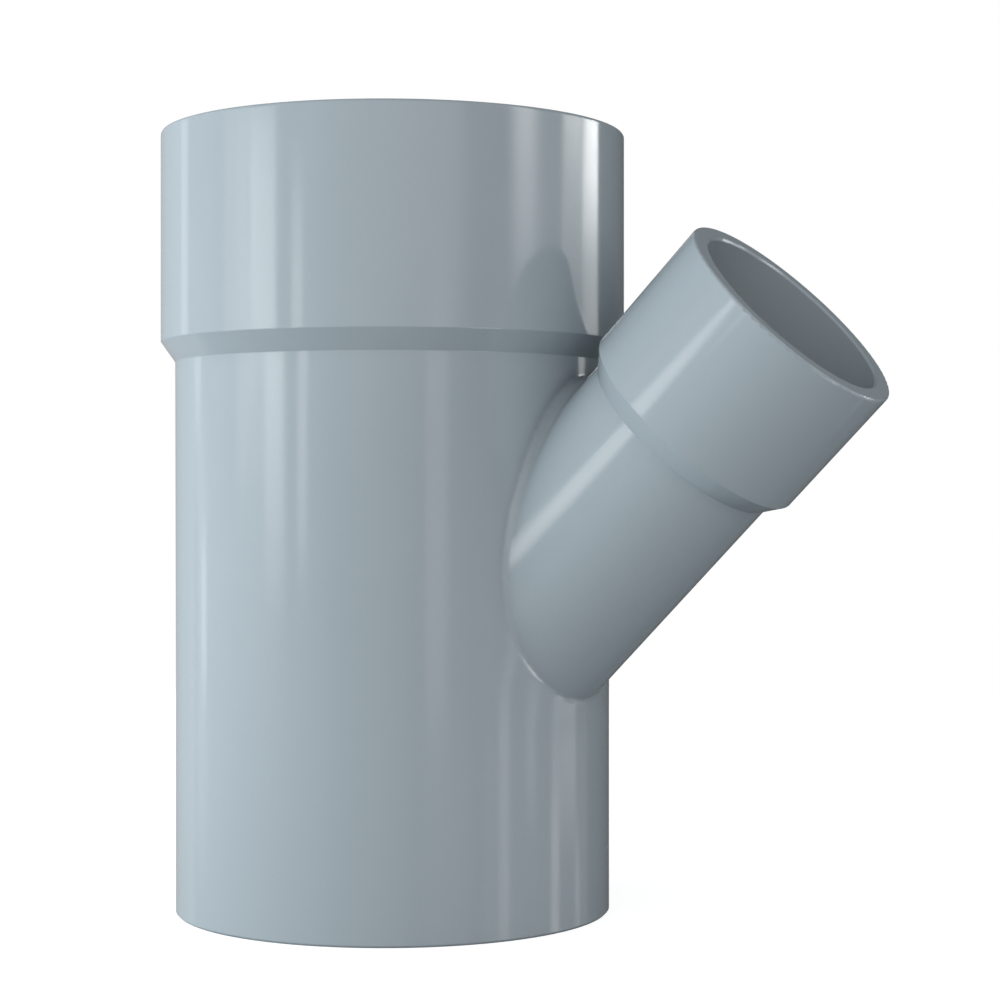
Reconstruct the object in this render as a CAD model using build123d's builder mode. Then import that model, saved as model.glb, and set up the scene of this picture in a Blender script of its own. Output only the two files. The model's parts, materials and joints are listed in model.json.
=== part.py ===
from build123d import *
from math import cos, radians, sin, tan
import os

# Lateral wye in rigid plastic: a straight run with a spigot below and a socket above,
# and a smaller branch that leaves it at 45 degrees and ends in a socket of its own.
# The origin is the middle of the spigot's end. +Z is the run, and the branch leans to +X.
# All sizes are in millimetres.

# Pipes that the fitting joins, by their outside diameters
run_pipe_diameter = 110.0
branch_pipe_diameter = 50.0

# Spigot and body of the run
spigot_length = 50.0
run_wall = 3.7
body_draft = 0.2  # growth of the body's radius from the spigot up to the hub

# Socket hub on top of the run
run_socket_clearance = 0.15  # on the radius, for the cement
run_socket_depth = 50.0
run_socket_wall = 3.65
run_step_length = 5.1  # sloping step between body and hub
run_step_to_shoulder = 2.6

# Branch
branch_angle = 45.0  # between the branch and the run
branch_wall = 3.65
branch_ledge = 2.5  # how far the stop shoulder covers the end of the branch's pipe
branch_socket_clearance = 0.1
branch_socket_depth = 32.0
branch_socket_wall = 4.47
branch_step_length = 4.9
branch_step_to_shoulder = 2.8

# Straight lengths left beside the junction
spigot_to_junction = 5.3  # from the spigot up to the underside of the branch
crotch_to_run_step = 9.4
crotch_to_branch_step = 12.0

# Rounded and chamfered edges
junction_round = 2.2
rim_round = 0.75
socket_lead_in = 0.5
ledge_chamfer = 0.6
spigot_chamfer = 0.5

# Radii, from the inside out
spigot_radius = run_pipe_diameter / 2
run_bore_radius = spigot_radius - run_wall
body_radius = spigot_radius + body_draft
run_socket_radius = spigot_radius + run_socket_clearance
run_hub_radius = run_socket_radius + run_socket_wall
branch_bore_radius = branch_pipe_diameter / 2 - branch_ledge
branch_radius = branch_bore_radius + branch_wall
branch_socket_radius = branch_pipe_diameter / 2 + branch_socket_clearance
branch_hub_radius = branch_socket_radius + branch_socket_wall

# The branch starts on the run's axis, at the height that puts its underside just above the spigot
lean = radians(branch_angle)
branch_start = spigot_length + spigot_to_junction + branch_radius / sin(lean) - body_radius / tan(lean)
crotch_height = branch_start + body_radius / tan(lean) + branch_radius / sin(lean)
crotch_distance = body_radius / sin(lean) + branch_radius / tan(lean)

# Heights along the run
run_step_low = crotch_height + crotch_to_run_step
run_step_high = run_step_low + run_step_length
run_shoulder = run_step_high + run_step_to_shoulder
run_top = run_shoulder + run_socket_depth

# Distances along the branch, from the run's axis
branch_step_low = crotch_distance + crotch_to_branch_step
branch_step_high = branch_step_low + branch_step_length
branch_shoulder = branch_step_high + branch_step_to_shoulder
branch_mouth = branch_shoulder + branch_socket_depth

# Half sections are drawn with the pipe's axis upright, and the branch's plane leans with it
run_plane = Plane.XZ
branch_plane = Plane(origin=(0, 0, branch_start), x_dir=(cos(lean), 0, -sin(lean)), z_dir=(0, -1, 0))
branch_axis = Axis((0, 0, branch_start), (sin(lean), 0, cos(lean)))

# The round between branch and body has to fit in the straight lengths beside the crotch
crotch_room = min(crotch_to_run_step, crotch_to_branch_step)
junction_radius = min(junction_round, 0.9 * crotch_room * tan(lean / 2))


with BuildPart() as lateral_wye:
    # Outside of the run: spigot, drafted body, sloping step and hub
    with BuildSketch(run_plane):
        with BuildLine():
            Polyline(
                (0, 0),
                (spigot_radius, 0),
                (spigot_radius, spigot_length),
                (body_radius, run_step_low),
                (run_hub_radius, run_step_high),
                (run_hub_radius, run_top),
                (0, run_top),
                close=True,
            )
        make_face()
    revolve(axis=Axis.Z)

    # Outside of the branch, from the run's axis to the mouth
    with BuildSketch(branch_plane):
        with BuildLine():
            Polyline(
                (0, 0),
                (branch_radius, 0),
                (branch_radius, branch_step_low),
                (branch_hub_radius, branch_step_high),
                (branch_hub_radius, branch_mouth),
                (0, branch_mouth),
                close=True,
            )
        make_face()
    revolve(axis=branch_axis)

    # Blend of the branch into the body
    fillet(lateral_wye.edges(Select.NEW), junction_radius)

    # Waterway of the run and its socket, with the stop shoulder between them
    with BuildSketch(run_plane) as run_inside:
        with BuildLine():
            Polyline(
                (0, 0),
                (run_bore_radius, 0),
                (run_bore_radius, run_shoulder),
                (run_socket_radius, run_shoulder),
                (run_socket_radius, run_top),
                (0, run_top),
                close=True,
            )
        make_face()
        run_ledge = run_inside.vertices().sort_by(Axis.Y)[2:4].sort_by(Axis.X)[0]
        chamfer(run_ledge, ledge_chamfer)
    revolve(axis=Axis.Z, mode=Mode.SUBTRACT)

    # Waterway of the branch and its socket
    with BuildSketch(branch_plane) as branch_inside:
        with BuildLine():
            Polyline(
                (0, 0),
                (branch_bore_radius, 0),
                (branch_bore_radius, branch_shoulder),
                (branch_socket_radius, branch_shoulder),
                (branch_socket_radius, branch_mouth),
                (0, branch_mouth),
                close=True,
            )
        make_face()
        branch_ledge_corner = branch_inside.vertices().sort_by(Axis.Y)[2:4].sort_by(Axis.X)[0]
        chamfer(branch_ledge_corner, ledge_chamfer)
    revolve(axis=branch_axis, mode=Mode.SUBTRACT)

    # Rims of the two sockets: rounded outside, and with a lead-in for the pipe inside
    for pipe_axis in (Axis.Z, branch_axis):
        rim = lateral_wye.faces().sort_by(pipe_axis)[-1]
        fillet(rim.edges().sort_by(SortBy.RADIUS)[-1], rim_round)
        rim = lateral_wye.faces().sort_by(pipe_axis)[-1]
        chamfer(rim.edges().sort_by(SortBy.RADIUS)[0], socket_lead_in)

    # Both edges of the spigot's end
    chamfer(lateral_wye.faces().sort_by(Axis.Z)[0].edges(), spigot_chamfer)

lateral_wye.part.label = "lateral_wye"
os.makedirs("parts", exist_ok=True)
export_step(lateral_wye.part, "parts/lateral_wye.step")
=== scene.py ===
import bmesh
import bpy
import json
import math
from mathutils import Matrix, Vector

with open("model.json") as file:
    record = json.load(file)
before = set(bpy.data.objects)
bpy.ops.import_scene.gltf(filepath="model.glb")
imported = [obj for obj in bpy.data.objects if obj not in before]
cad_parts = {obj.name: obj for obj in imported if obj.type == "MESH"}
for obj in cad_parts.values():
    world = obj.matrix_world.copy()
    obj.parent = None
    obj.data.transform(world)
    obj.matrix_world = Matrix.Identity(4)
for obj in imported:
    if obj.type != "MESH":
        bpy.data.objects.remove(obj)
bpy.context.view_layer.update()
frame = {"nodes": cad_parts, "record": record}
wye = frame["nodes"]["lateral_wye"]
print("frame loaded")


# Small helpers for node trees

def addNode(tree, kind, **settings):
    node = tree.nodes.new(kind)
    for name, value in settings.items():
        setattr(node, name, value)
    return node


def addMath(tree, operation, first, second=None, third=None):
    node = addNode(tree, "ShaderNodeMath", operation=operation)
    for socket, value in zip(node.inputs, (first, second, third)):
        if isinstance(value, (int, float)):
            socket.default_value = value
        elif value is not None:
            tree.links.new(value, socket)
    return node.outputs[0]


def addNoise(tree, place, scale, detail=2.0):
    node = addNode(tree, "ShaderNodeTexNoise")
    tree.links.new(place, node.inputs["Vector"])
    node.inputs["Detail"].default_value = detail
    if isinstance(scale, (int, float)):
        node.inputs["Scale"].default_value = scale
    else:
        tree.links.new(scale, node.inputs["Scale"])
    return node.outputs["Fac"]


def addRange(tree, value, low, high, newLow=0.0, newHigh=1.0):
    node = addNode(tree, "ShaderNodeMapRange")
    for socket, item in zip(node.inputs, (value, low, high, newLow, newHigh)):
        if isinstance(item, (int, float)):
            socket.default_value = item
        else:
            tree.links.new(item, socket)
    return node.outputs["Result"]


def newGroup(name, inputs, outputs):
    tree = bpy.data.node_groups.new(name, "ShaderNodeTree")
    for label, kind, value in inputs:
        socket = tree.interface.new_socket(label, in_out="INPUT", socket_type=kind)
        socket.default_value = value
    for label, kind in outputs:
        tree.interface.new_socket(label, in_out="OUTPUT", socket_type=kind)
    return tree, tree.nodes.new("NodeGroupInput").outputs, tree.nodes.new("NodeGroupOutput").inputs


def addSeenRays(tree):
    # 1 for the rays that show a surface as it is: camera, glossy and transmission rays
    rays = addNode(tree, "ShaderNodeLightPath").outputs
    seen = addMath(tree, "MAXIMUM", rays["Is Camera Ray"], rays["Is Glossy Ray"])
    return addMath(tree, "MAXIMUM", seen, rays["Is Transmission Ray"])


def newMaterial(name):
    material = bpy.data.materials.new(name)
    material.use_nodes = True
    return material, material.node_tree


def placeGroup(tree, group, values):
    node = addNode(tree, "ShaderNodeGroup", node_tree=group)
    for label, value in values.items():
        node.inputs[label].default_value = value
    return node


# Effects shared by the materials

effects = {
    "flowScale": 110.0,  # flow marks to the metre, across the pipe
    "flowStretch": 0.12,  # under 1 draws them out along the pipe
    "rubStretch": 0.04,  # under 1 draws the rub marks out
    "rubRange": (0.68, 0.74),  # noise from which a rub mark shows, and at which it is full
    "patchScale": 28.0,  # patches of rub marks to the metre
    "patchRange": (0.55, 0.65),
    "drawStretch": 40.0,  # how many times longer than wide a draw mark is
    "drawRange": (0.3, 0.7),
    # samples for the painted crease shade
    "paintedShadeSamples": 6,
}


def makeCloudyShade():
    # colour that drifts a little lighter and darker over the surface, with a fine pigment speckle
    tree, given, result = newGroup(
        "cloudyShade",
        [
            ("Colour", "NodeSocketColor", (0.5, 0.5, 0.5, 1)),
            ("Cloud Size", "NodeSocketFloat", 0.03),
            ("Cloud Depth", "NodeSocketFloat", 0.03),
            ("Speck Size", "NodeSocketFloat", 0.0005),
            ("Speck Depth", "NodeSocketFloat", 0.02),
        ],
        [("Colour", "NodeSocketColor")],
    )
    place = addNode(tree, "ShaderNodeTexCoord").outputs["Object"]
    cloud = addNoise(tree, place, addMath(tree, "DIVIDE", 1.0, given["Cloud Size"]), 3.0)
    speck = addNoise(tree, place, addMath(tree, "DIVIDE", 1.0, given["Speck Size"]), 1.0)
    cloudShift = addMath(tree, "MULTIPLY", addMath(tree, "SUBTRACT", cloud, 0.5), given["Cloud Depth"])
    speckShift = addMath(tree, "MULTIPLY", addMath(tree, "SUBTRACT", speck, 0.5), given["Speck Depth"])
    gain = addMath(tree, "ADD", addMath(tree, "ADD", cloudShift, speckShift), 1.0)
    tinted = addNode(tree, "ShaderNodeVectorMath", operation="SCALE")
    tree.links.new(given["Colour"], tinted.inputs[0])
    tree.links.new(gain, tinted.inputs["Scale"])
    tree.links.new(tinted.outputs[0], result["Colour"])
    return tree


def makeMouldSkin():
    # height of a moulded skin: long soft waves, faint flow along the pipe and fine pits, all in metres
    tree, given, result = newGroup(
        "mouldSkin",
        [
            ("Wave Size", "NodeSocketFloat", 0.006),
            ("Wave Height", "NodeSocketFloat", 0.000004),
            ("Pit Size", "NodeSocketFloat", 0.0005),
            ("Pit Height", "NodeSocketFloat", 0.0000004),
            ("Flow Height", "NodeSocketFloat", 0.000002),
        ],
        [("Height", "NodeSocketFloat"), ("Waves", "NodeSocketFloat")],
    )
    place = addNode(tree, "ShaderNodeTexCoord").outputs["Object"]
    waves = addNoise(tree, place, addMath(tree, "DIVIDE", 1.0, given["Wave Size"]))
    pits = addNoise(tree, place, addMath(tree, "DIVIDE", 1.0, given["Pit Size"]))
    stretch = addNode(tree, "ShaderNodeMapping")
    stretch.inputs["Scale"].default_value = (1.0, 1.0, effects["flowStretch"])
    tree.links.new(place, stretch.inputs["Vector"])
    flow = addNoise(tree, stretch.outputs["Vector"], effects["flowScale"])
    height = addMath(tree, "MULTIPLY", waves, given["Wave Height"])
    height = addMath(tree, "MULTIPLY_ADD", pits, given["Pit Height"], height)
    height = addMath(tree, "MULTIPLY_ADD", flow, given["Flow Height"], height)
    tree.links.new(height, result["Height"])
    tree.links.new(waves, result["Waves"])
    return tree


def makeHairlines():
    # mask of short fine rub marks in a few patches
    tree, given, result = newGroup(
        "hairlines",
        [
            ("Turn", "NodeSocketVector", (0.3, 0.9, 0.2)),
            ("Width", "NodeSocketFloat", 0.0004),
            ("Share", "NodeSocketFloat", 0.25),
        ],
        [("Mask", "NodeSocketFloat")],
    )
    place = addNode(tree, "ShaderNodeTexCoord").outputs["Object"]
    turned = addNode(tree, "ShaderNodeMapping")
    turned.inputs["Scale"].default_value = (1.0, 1.0, effects["rubStretch"])
    tree.links.new(place, turned.inputs["Vector"])
    tree.links.new(given["Turn"], turned.inputs["Rotation"])
    linesScale = addMath(tree, "DIVIDE", 1.0, given["Width"])
    lines = addNoise(tree, turned.outputs["Vector"], linesScale, 0.0)
    lines = addRange(tree, lines, *effects["rubRange"])
    patches = addNoise(tree, place, effects["patchScale"], 1.0)
    patches = addRange(tree, patches, *effects["patchRange"])
    mask = addMath(tree, "MULTIPLY", addMath(tree, "MULTIPLY", lines, patches), given["Share"])
    tree.links.new(mask, result["Mask"])
    return tree


def makePaintedCreaseShade():
    # painted shade: colour darkened a little deep in a crease, where little of the view around is open
    tree, given, result = newGroup(
        "paintedCreaseShade",
        [
            ("Colour", "NodeSocketColor", (0.5, 0.5, 0.5, 1)),
            ("Reach", "NodeSocketFloat", 0.005),
            ("Closed", "NodeSocketFloat", 0.6),
            ("Open", "NodeSocketFloat", 0.9),
            ("Depth", "NodeSocketFloat", 0.3),
        ],
        [("Colour", "NodeSocketColor")],
    )
    sky = addNode(tree, "ShaderNodeAmbientOcclusion", samples=effects["paintedShadeSamples"], only_local=True)
    tree.links.new(given["Reach"], sky.inputs["Distance"])
    darkest = addMath(tree, "SUBTRACT", 1.0, given["Depth"])
    gain = addRange(tree, sky.outputs["AO"], given["Closed"], given["Open"], darkest, 1.0)
    paintedDark = addNode(tree, "ShaderNodeVectorMath", operation="SCALE")
    tree.links.new(given["Colour"], paintedDark.inputs[0])
    tree.links.new(gain, paintedDark.inputs["Scale"])
    tree.links.new(paintedDark.outputs[0], result["Colour"])
    return tree


def makeDrawMarks():
    # faint lines along a bore, left by the mould's core when it is drawn out
    tree, given, result = newGroup(
        "drawMarks",
        [
            ("Turn", "NodeSocketVector", (0.0, 0.0, 0.0)),
            ("Line Width", "NodeSocketFloat", 0.0008),
            ("Line Depth", "NodeSocketFloat", 0.000001),
        ],
        [("Height", "NodeSocketFloat"), ("Lines", "NodeSocketFloat")],
    )
    place = addNode(tree, "ShaderNodeTexCoord").outputs["Object"]
    along = addNode(tree, "ShaderNodeMapping", vector_type="TEXTURE")
    along.inputs["Scale"].default_value = (1.0, 1.0, effects["drawStretch"])
    tree.links.new(place, along.inputs["Vector"])
    tree.links.new(given["Turn"], along.inputs["Rotation"])
    linesScale = addMath(tree, "DIVIDE", 1.0, given["Line Width"])
    lines = addNoise(tree, along.outputs["Vector"], linesScale)
    tree.links.new(addMath(tree, "MULTIPLY", lines, given["Line Depth"]), result["Height"])
    tree.links.new(addRange(tree, lines, *effects["drawRange"]), result["Lines"])
    return tree


cloudyShade = makeCloudyShade()
mouldSkin = makeMouldSkin()
hairlines = makeHairlines()
paintedCreaseShade = makePaintedCreaseShade()
drawMarks = makeDrawMarks()
print("shared effects made")


# Plastic of the fitting

plastic = {
    "colour": (0.311, 0.372, 0.407),
    "shade": {"Cloud Size": 0.045, "Cloud Depth": 0.035, "Speck Size": 0.0006, "Speck Depth": 0.03},
    "skin": {
        "Wave Size": 0.009,
        "Wave Height": 0.000006,
        "Pit Size": 0.0007,
        "Pit Height": 0.0000006,
        "Flow Height": 0.000002,
    },
    "rubMarks": {"Turn": (0.35, 0.9, 0.2), "Width": 0.0005, "Share": 0.5},
    "roughness": 0.11,
    "roughnessSpread": 0.04,
    "hairlineRoughness": 0.12,
    "ior": 1.5,
    "waveRange": (0.3, 0.7),  # height of the mould's waves at which the roughness is lowest and highest
    "edgeRound": 0.0004,  # metres, softens the light on the crisp edges
    "edgeSamples": 4,
    "joinWithin": 0.000001,  # metres between double points
    "smoothAngle": 25.0,  # degrees from which an edge stays crisp
}


# painted shade in creases: the colour is darkened where ambient occlusion finds the view closed
paintedCrease = {
    "Reach": 0.0055,  # metres from one side of a crease to the other
    "Closed": 0.62,  # open share of the view at which the crease is as dark as it gets
    "Open": 0.87,  # open share from which no shade is painted
    "Depth": 0.26,
}


# lays the painted crease shade over a colour
def addPaintedShade(tree, colour):
    laid = placeGroup(tree, paintedCreaseShade, paintedCrease)
    tree.links.new(colour, laid.inputs["Colour"])
    return laid.outputs["Colour"]


def addRelief(tree, height, shader):
    # crisp edges softened, and the surface's height laid on top in true metres
    soft = addNode(tree, "ShaderNodeBevel", samples=plastic["edgeSamples"])
    soft.inputs["Radius"].default_value = plastic["edgeRound"]
    bump = addNode(tree, "ShaderNodeBump")
    bump.inputs["Strength"].default_value = 1.0
    bump.inputs["Distance"].default_value = 1.0
    tree.links.new(height, bump.inputs["Height"])
    tree.links.new(soft.outputs["Normal"], bump.inputs["Normal"])
    tree.links.new(bump.outputs["Normal"], shader.inputs["Normal"])


def makePlastic():
    material, tree = newMaterial("greyPvc")
    shader = tree.nodes["Principled BSDF"]
    shade = placeGroup(tree, cloudyShade, {"Colour": (*plastic["colour"], 1.0), **plastic["shade"]})
    skin = placeGroup(tree, mouldSkin, plastic["skin"])
    marks = placeGroup(tree, hairlines, plastic["rubMarks"])
    # base colour with painted shade in the creases
    tree.links.new(addPaintedShade(tree, shade.outputs["Colour"]), shader.inputs["Base Color"])
    rough = addRange(
        tree, skin.outputs["Waves"], *plastic["waveRange"],
        plastic["roughness"] - plastic["roughnessSpread"] / 2,
        plastic["roughness"] + plastic["roughnessSpread"] / 2,
    )
    rough = addMath(tree, "MULTIPLY_ADD", marks.outputs["Mask"], plastic["hairlineRoughness"], rough)
    tree.links.new(rough, shader.inputs["Roughness"])
    shader.inputs["IOR"].default_value = plastic["ior"]
    addRelief(tree, skin.outputs["Height"], shader)
    return material


bore = {
    # a little darker than the outer plastic: painted shade inside the bores
    "colour": (0.292, 0.342, 0.374),
    "shade": {"Cloud Size": 0.02, "Cloud Depth": 0.04, "Speck Size": 0.0006, "Speck Depth": 0.03},
    "roughness": 0.17,
    "lineRoughness": 0.08,
    "drawMarks": {"Line Width": 0.0011, "Line Depth": 0.0000025},
    "branchLean": 45.0,  # degrees from the run, for the draw marks in the branch
    "reach": 0.0002,  # metres outside a bore's radius that still count as its wall
    "waterways": [  # socket, material slot, width of the stop shoulder, length of the waterway behind
        ("main_socket", 1, 0.0038, 0.15),
        ("branch_socket", 2, 0.0026, 0.08),
    ],
}


def makeBorePlastic(name, turn):
    # the side that the core shaped: a little duller, with draw marks along the pipe's axis, and a
    # colour a little darker than the outer plastic's as painted shade inside the bores
    material, tree = newMaterial(name)
    shader = tree.nodes["Principled BSDF"]
    shade = placeGroup(tree, cloudyShade, {"Colour": (*bore["colour"], 1.0), **bore["shade"]})
    marks = placeGroup(tree, drawMarks, {"Turn": turn, **bore["drawMarks"]})
    # base colour with painted shade in the creases
    tree.links.new(addPaintedShade(tree, shade.outputs["Colour"]), shader.inputs["Base Color"])
    lines = marks.outputs["Lines"]
    rough = addMath(tree, "MULTIPLY_ADD", lines, bore["lineRoughness"], bore["roughness"])
    tree.links.new(rough, shader.inputs["Roughness"])
    shader.inputs["IOR"].default_value = plastic["ior"]
    addRelief(tree, marks.outputs["Height"], shader)
    return material


def inBore(point, socket, ledge, behind):
    # true for a point on the wall of a socket, on its stop shoulder or on the waterway behind it
    way = Vector(socket["axis"]).normalized()
    offset = point - Vector(socket["pos_m"])
    depth = offset.dot(way)
    away = (offset - depth * way).length
    radius = socket["dims"]["r_mm"] / 1000 + bore["reach"]
    if depth < -bore["reach"]:
        radius -= ledge
    return away < radius and -behind < depth < socket["dims"]["length_mm"] / 1000


def paintBores():
    sockets = {mount["name"]: mount for mount in frame["record"]["mounts"]}
    for name, slot, ledge, behind in bore["waterways"]:
        for face in wye.data.polygons:
            if inBore(face.center, sockets[name], ledge, behind):
                face.material_index = slot


def finishWye():
    # the solid's faces meet in double points; joined, they shade as one skin with real edges only
    for face in wye.data.polygons:
        face.use_smooth = True
    joined = wye.modifiers.new("joinedFaces", "WELD")
    joined.merge_threshold = plastic["joinWithin"]
    edges = wye.modifiers.new("realEdges", "EDGE_SPLIT")
    edges.split_angle = math.radians(plastic["smoothAngle"])
    normals = wye.modifiers.new("trueCurves", "WEIGHTED_NORMAL")
    normals.mode = "FACE_AREA_WITH_ANGLE"
    wye.data.materials.clear()
    wye.data.materials.append(makePlastic())
    wye.data.materials.append(makeBorePlastic("runBorePvc", (0.0, 0.0, 0.0)))
    branchTurn = (0.0, math.radians(bore["branchLean"]), 0.0)
    wye.data.materials.append(makeBorePlastic("branchBorePvc", branchTurn))
    paintBores()


finishWye()
print("fitting finished")


# Camera, level with the middle of the fitting

camera = {
    "place": (0.3233, -0.4944, 0.1039),
    "aim": (0.0231, 0.0144, 0.1039),
    "lens": 83.19,
    "sensor": 36.0,
}


def makeCamera():
    lens = bpy.data.cameras.new("camera")
    lens.lens = camera["lens"]
    lens.sensor_width = camera["sensor"]
    shot = bpy.data.objects.new("camera", lens)
    bpy.context.scene.collection.objects.link(shot)
    shot.location = camera["place"]
    direction = Vector(camera["aim"]) - Vector(camera["place"])
    shot.rotation_euler = direction.to_track_quat("-Z", "Y").to_euler()
    bpy.context.scene.camera = shot


makeCamera()
print("camera placed")


# Studio: soft lamps light the colour, and strips and panels draw the reflections.
# A bearing is counted from the camera's side of the fitting, to the right. All angles are in degrees.

studio = {
    "middle": (0.02, 0.0, 0.1),
    "ambient": (0.93, 1.025, 1.085),
    "ambientStrength": 0.36,
    "softLampsAway": 1.5,
    "softLamps": [
        {"name": "key", "bearing": -93, "height": 2, "spread": (72, 16), "light": 10.8},
        {"name": "keyHigh", "bearing": -90, "height": 25, "spread": (75, 24), "light": 1.1,
         "colour": (0.93, 0.98, 1.07)},
        {"name": "frontFill", "bearing": 15, "height": 2, "spread": (60, 16), "light": 0.7},
        {"name": "frontHigh", "bearing": 0, "height": 25, "spread": (105, 24), "light": 1.7,
         "colour": (1.12, 0.98, 0.93)},
        {"name": "rightFill", "bearing": 66, "height": 2, "spread": (42, 16), "light": 1.3,
         "colour": (1.13, 0.98, 0.88)},
    ],
    "drapeRadius": 4.0,
    "drapeSegments": (48, 24),
    "panels": {  # bearings from and to, heights, widths of the soft edges beside and above, light
        "backWall": ((-190, -125), (-30, 40), (8, 10), 0.39),
        "rightBackWall": ((123, 175), (-30, 40), (4, 10), 0.09),
        "leftWall": ((-130, -35), (-30, 35), (10, 10), 0.17),
        "backStripHigh": ((-124, -117), (2, 12), (3, 4), 1.1),
        "backStripLow": ((-121, -111), (-10, 2), (3, 4), 0.4),
        "backStripSpot": ((-117, -112), (-5, -1), (2, 2), 1.1),
        "leftBoxTop": ((-87, -57), (11.2, 22), (4, 2), 0.25),
        "leftBoxHigh": ((-87, -57), (4, 11.2), (4, 2), 0.93),
        "leftBoxMiddle": ((-86, -57), (0.5, 4), (4, 3), 1.05),
        "leftGlowHigh": ((-79, -70), (3, 10.8), (8, 1.5), 1),
        "leftBrightHigh": ((-70.5, -56.3), (4.4, 10.6), (3.4, 1.2), 2.55),
        "leftBrightUpper": ((-67.5, -55.7), (2, 4.4), (4, 1.2), 2.55),
        "leftBrightMiddle": ((-67.5, -55.7), (-1, 2), (4, 1.2), 1.9),
        "leftBrightLow": ((-67.5, -55.7), (-2.6, -1), (4, 1.2), 1.1),
        "leftStripHigh": ((-48, -42.4), (3, 8.6), (2, 3), 2.8),
        "leftStripMiddle": ((-48.5, -43.3), (-1.6, 3), (2, 1.6), 2.38),
        "frontWallLeft": ((-42, -10), (2, 35), (8, 6), 0.56),
        "frontWall": ((-10, 35), (4, 35), (12, 6), 0.79),
        "frontLow": ((-42, 8), (-35, 2), (8, 6), 0.12),
        "frontStrip": ((18, 29), (-6, 5), (4, 3), 0.9),
        "frontStripLow": ((18, 42), (-24, -6), (5, 3), 0.22),
        "rightWallLow": ((48, 124), (-40, -6), (6, 2), 0.38),
        "rightStripLow": ((57.5, 63.5), (-24, -4.5), (2, 2), 1.21),
        "rightStripShort": ((74, 80), (-8.5, -5), (3, 1), 0.85),
        "sideStripMiddle": ((92, 112), (-8.9, -5.7), (3, 1.6), 0.95),
        "sideStripLow": ((91.5, 97.5), (-24, -8.6), (2, 1.2), 1.55),
        "sideStripBottom": ((112, 116), (-24, -9.5), (2, 0.6), 0.8),
        "rightLow": ((40, 62), (-42, -20), (6, 6), 4),
        "rightStripMiddle": ((50, 76), (2, 7), (8, 3), 0.4),
        "rightStripHigh": ((61, 75), (6.5, 26), (11, 3), 2.9),
        "rightStripTop": ((62, 74), (10, 45), (9, 3), 2.1),
        "sideHigh": ((76, 92), (4, 13), (6, 3), 0.7),
        "rimLeftHigh": ((91, 107), (5.5, 13), (4, 3), 1.96),
        "rimLeftTop": ((93, 106), (9.5, 20), (4, 3), 2.9),
        "rimMiddle": ((107, 121), (3, 9), (3, 4), 2.4),
        "rimHigh": ((107, 121), (8, 13), (3, 3), 5.6),
        "rimTop": ((110, 121), (9.5, 16), (3, 3), 3.4),
    },
}


def facing():
    # direction from the fitting's middle to the camera, level with the floor
    side = Vector(camera["place"]) - Vector(studio["middle"])
    return math.atan2(side.y, side.x)


def makeLamp(card):
    lamp = bpy.data.lights.new(card["name"], "AREA")
    lamp.shape = "RECTANGLE"
    away = studio["softLampsAway"]
    turn = facing() + math.radians(card["bearing"])
    rise = math.radians(card["height"])
    wide, tall = card["spread"]
    lamp.size = 2 * away * math.tan(math.radians(wide) / 2) * math.cos(rise)
    lamp.size_y = 2 * away * math.tan(math.radians(tall) / 2)
    lamp.energy = card["light"] * math.pi * lamp.size * lamp.size_y
    lamp.color = card.get("colour", (1.0, 1.0, 1.0))
    stand = bpy.data.objects.new(card["name"], lamp)
    bpy.context.scene.collection.objects.link(stand)
    way = Vector((math.cos(rise) * math.cos(turn), math.cos(rise) * math.sin(turn), math.sin(rise)))
    stand.location = Vector(studio["middle"]) + way * away
    stand.rotation_euler = (-way).to_track_quat("-Z", "Y").to_euler()
    stand.visible_camera = False
    stand.visible_glossy = False


def makeWorld():
    world = bpy.data.worlds.new("studio")
    world.use_nodes = True
    bpy.context.scene.world = world
    tree = world.node_tree
    white = tree.nodes["Background"]
    white.inputs["Color"].default_value = (1.0, 1.0, 1.0, 1.0)
    white.inputs["Strength"].default_value = 1.0
    ambient = addNode(tree, "ShaderNodeBackground")
    ambient.inputs["Color"].default_value = (*studio["ambient"], 1.0)
    ambient.inputs["Strength"].default_value = studio["ambientStrength"]
    mix = addNode(tree, "ShaderNodeMixShader")
    tree.links.new(addSeenRays(tree), mix.inputs["Fac"])
    tree.links.new(ambient.outputs[0], mix.inputs[1])
    tree.links.new(white.outputs[0], mix.inputs[2])
    tree.links.new(mix.outputs[0], tree.nodes["World Output"].inputs["Surface"])


def makeSoftPanel():
    # light of one panel with soft edges, for a direction given by its bearing and height in degrees
    tree, given, result = newGroup(
        "softPanel",
        [
            ("Bearing", "NodeSocketFloat", 0.0),
            ("Height", "NodeSocketFloat", 0.0),
            ("From", "NodeSocketFloat", -10.0),
            ("To", "NodeSocketFloat", 10.0),
            ("Low", "NodeSocketFloat", -10.0),
            ("High", "NodeSocketFloat", 10.0),
            ("Soft Side", "NodeSocketFloat", 4.0),
            ("Soft Height", "NodeSocketFloat", 4.0),
            ("Light", "NodeSocketFloat", 1.0),
        ],
        [("Light", "NodeSocketFloat")],
    )
    light = given["Light"]
    aside = ("Bearing", "From", "To", "Soft Side")
    upright = ("Height", "Low", "High", "Soft Height")
    for angle, low, high, soft in (aside, upright):
        half = addMath(tree, "MULTIPLY", given[soft], 0.5)
        for edge, first, last in ((low, 0.0, 1.0), (high, 1.0, 0.0)):
            start = addMath(tree, "SUBTRACT", given[edge], half)
            end = addMath(tree, "ADD", given[edge], half)
            fade = addRange(tree, given[angle], start, end, first, last)
            fade.node.interpolation_type = "SMOOTHSTEP"
            light = addMath(tree, "MULTIPLY", light, fade)
    tree.links.new(light, result["Light"])
    return tree


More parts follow.
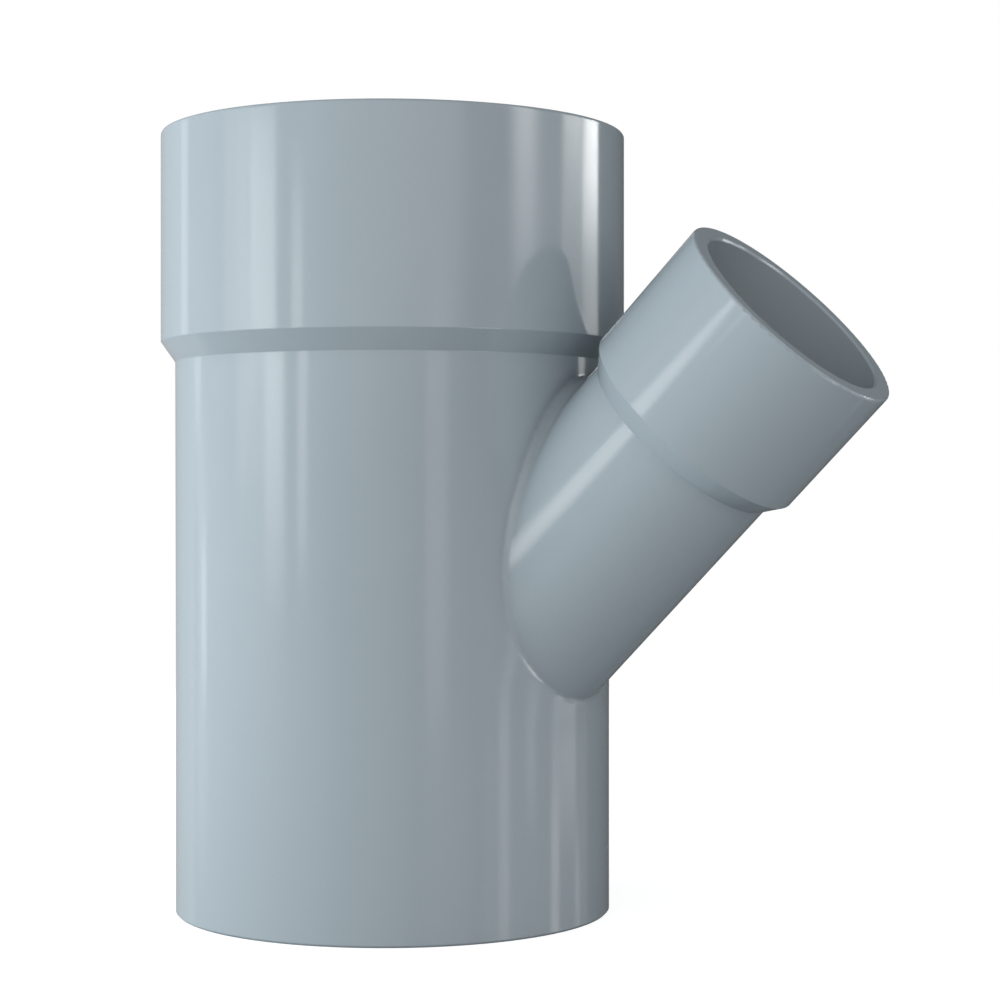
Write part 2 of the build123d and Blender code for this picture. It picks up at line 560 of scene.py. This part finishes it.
def addPanels(tree):
    # the panels' light, added up, in the direction from the drape's middle to the point
    parts = addNode(tree, "ShaderNodeSeparateXYZ")
    tree.links.new(addNode(tree, "ShaderNodeTexCoord").outputs["Object"], parts.inputs[0])
    x, y, z = parts.outputs
    bearing = addMath(tree, "DEGREES", addMath(tree, "ARCTAN2", y, x))
    rise = addMath(tree, "DIVIDE", z, studio["drapeRadius"])
    height = addMath(tree, "DEGREES", addMath(tree, "ARCSINE", rise))
    softPanel = makeSoftPanel()
    total = 0.0
    for name, (side, upright, soft, light) in studio["panels"].items():
        panel = placeGroup(tree, softPanel, {
            "From": side[0],
            "To": side[1],
            "Low": upright[0],
            "High": upright[1],
            "Soft Side": soft[0],
            "Soft Height": soft[1],
            "Light": light,
        })
        panel.name = name
        tree.links.new(bearing, panel.inputs["Bearing"])
        tree.links.new(height, panel.inputs["Height"])
        total = addMath(tree, "ADD", total, panel.outputs["Light"])
    return total


def makeDrape():
    # dark drape all round the set, with the panels hung on it; only the reflections show it
    mesh = bpy.data.meshes.new("drape")
    shell = bmesh.new()
    around, upward = studio["drapeSegments"]
    bmesh.ops.create_uvsphere(
        shell, u_segments=around, v_segments=upward, radius=studio["drapeRadius"])
    shell.to_mesh(mesh)
    shell.free()
    drape = bpy.data.objects.new("drape", mesh)
    bpy.context.scene.collection.objects.link(drape)
    drape.location = studio["middle"]
    drape.rotation_euler = (0.0, 0.0, facing())
    material, tree = newMaterial("drapeAndPanels")
    tree.nodes.remove(tree.nodes["Principled BSDF"])
    glow = addNode(tree, "ShaderNodeEmission")
    tree.links.new(addPanels(tree), glow.inputs["Color"])
    tree.links.new(glow.outputs[0], tree.nodes["Material Output"].inputs["Surface"])
    mesh.materials.append(material)
    for ray in ("camera", "diffuse", "transmission", "volume_scatter", "shadow"):
        setattr(drape, "visible_" + ray, False)


floor = {
    "radius": 0.7,
    "corners": 96,
    "paper": (0.7, 0.7, 0.7),  # colour from which the light bounces onto the fitting
    "shade": {"Cloud Size": 0.08, "Cloud Depth": 0.01, "Speck Size": 0.001, "Speck Depth": 0.01},
    "roughness": 0.9,
    "whiteLift": 0.85,  # how much of the white the camera sees without the lamps
    "shadowPaper": 0.35,  # how much more of it the lamps bring, which sets how deep the shadow is
}


def makeFloor():
    mesh = bpy.data.meshes.new("paperFloor")
    turns = [2 * math.pi * corner / floor["corners"] for corner in range(floor["corners"])]
    ring = [(floor["radius"] * math.cos(turn), floor["radius"] * math.sin(turn), 0.0) for turn in turns]
    mesh.from_pydata(ring, [], [tuple(range(floor["corners"]))])
    sheet = bpy.data.objects.new("paperFloor", mesh)
    bpy.context.scene.collection.objects.link(sheet)
    material, tree = newMaterial("whitePaper")
    paper = tree.nodes["Principled BSDF"]
    paper.inputs["Roughness"].default_value = floor["roughness"]
    paper.inputs["Specular IOR Level"].default_value = 0.0
    seen = addSeenRays(tree)
    shade = placeGroup(tree, cloudyShade, {"Colour": (*floor["paper"], 1.0), **floor["shade"]})
    dim = addNode(tree, "ShaderNodeVectorMath", operation="SCALE")
    tree.links.new(shade.outputs["Colour"], dim.inputs[0])
    gain = addRange(tree, seen, 0.0, 1.0, 1.0, floor["shadowPaper"] / floor["paper"][0])
    tree.links.new(gain, dim.inputs["Scale"])
    tree.links.new(dim.outputs[0], paper.inputs["Base Color"])
    glow = addNode(tree, "ShaderNodeEmission")
    tree.links.new(addMath(tree, "MULTIPLY", seen, floor["whiteLift"]), glow.inputs["Strength"])
    both = addNode(tree, "ShaderNodeAddShader")
    tree.links.new(paper.outputs[0], both.inputs[0])
    tree.links.new(glow.outputs[0], both.inputs[1])
    tree.links.new(both.outputs[0], tree.nodes["Material Output"].inputs["Surface"])
    mesh.materials.append(material)
    sheet.visible_glossy = False


makeWorld()
makeDrape()
makeFloor()
for card in studio["softLamps"]:
    makeLamp(card)
bpy.context.scene.view_settings.view_transform = "Standard"
print("studio lit")
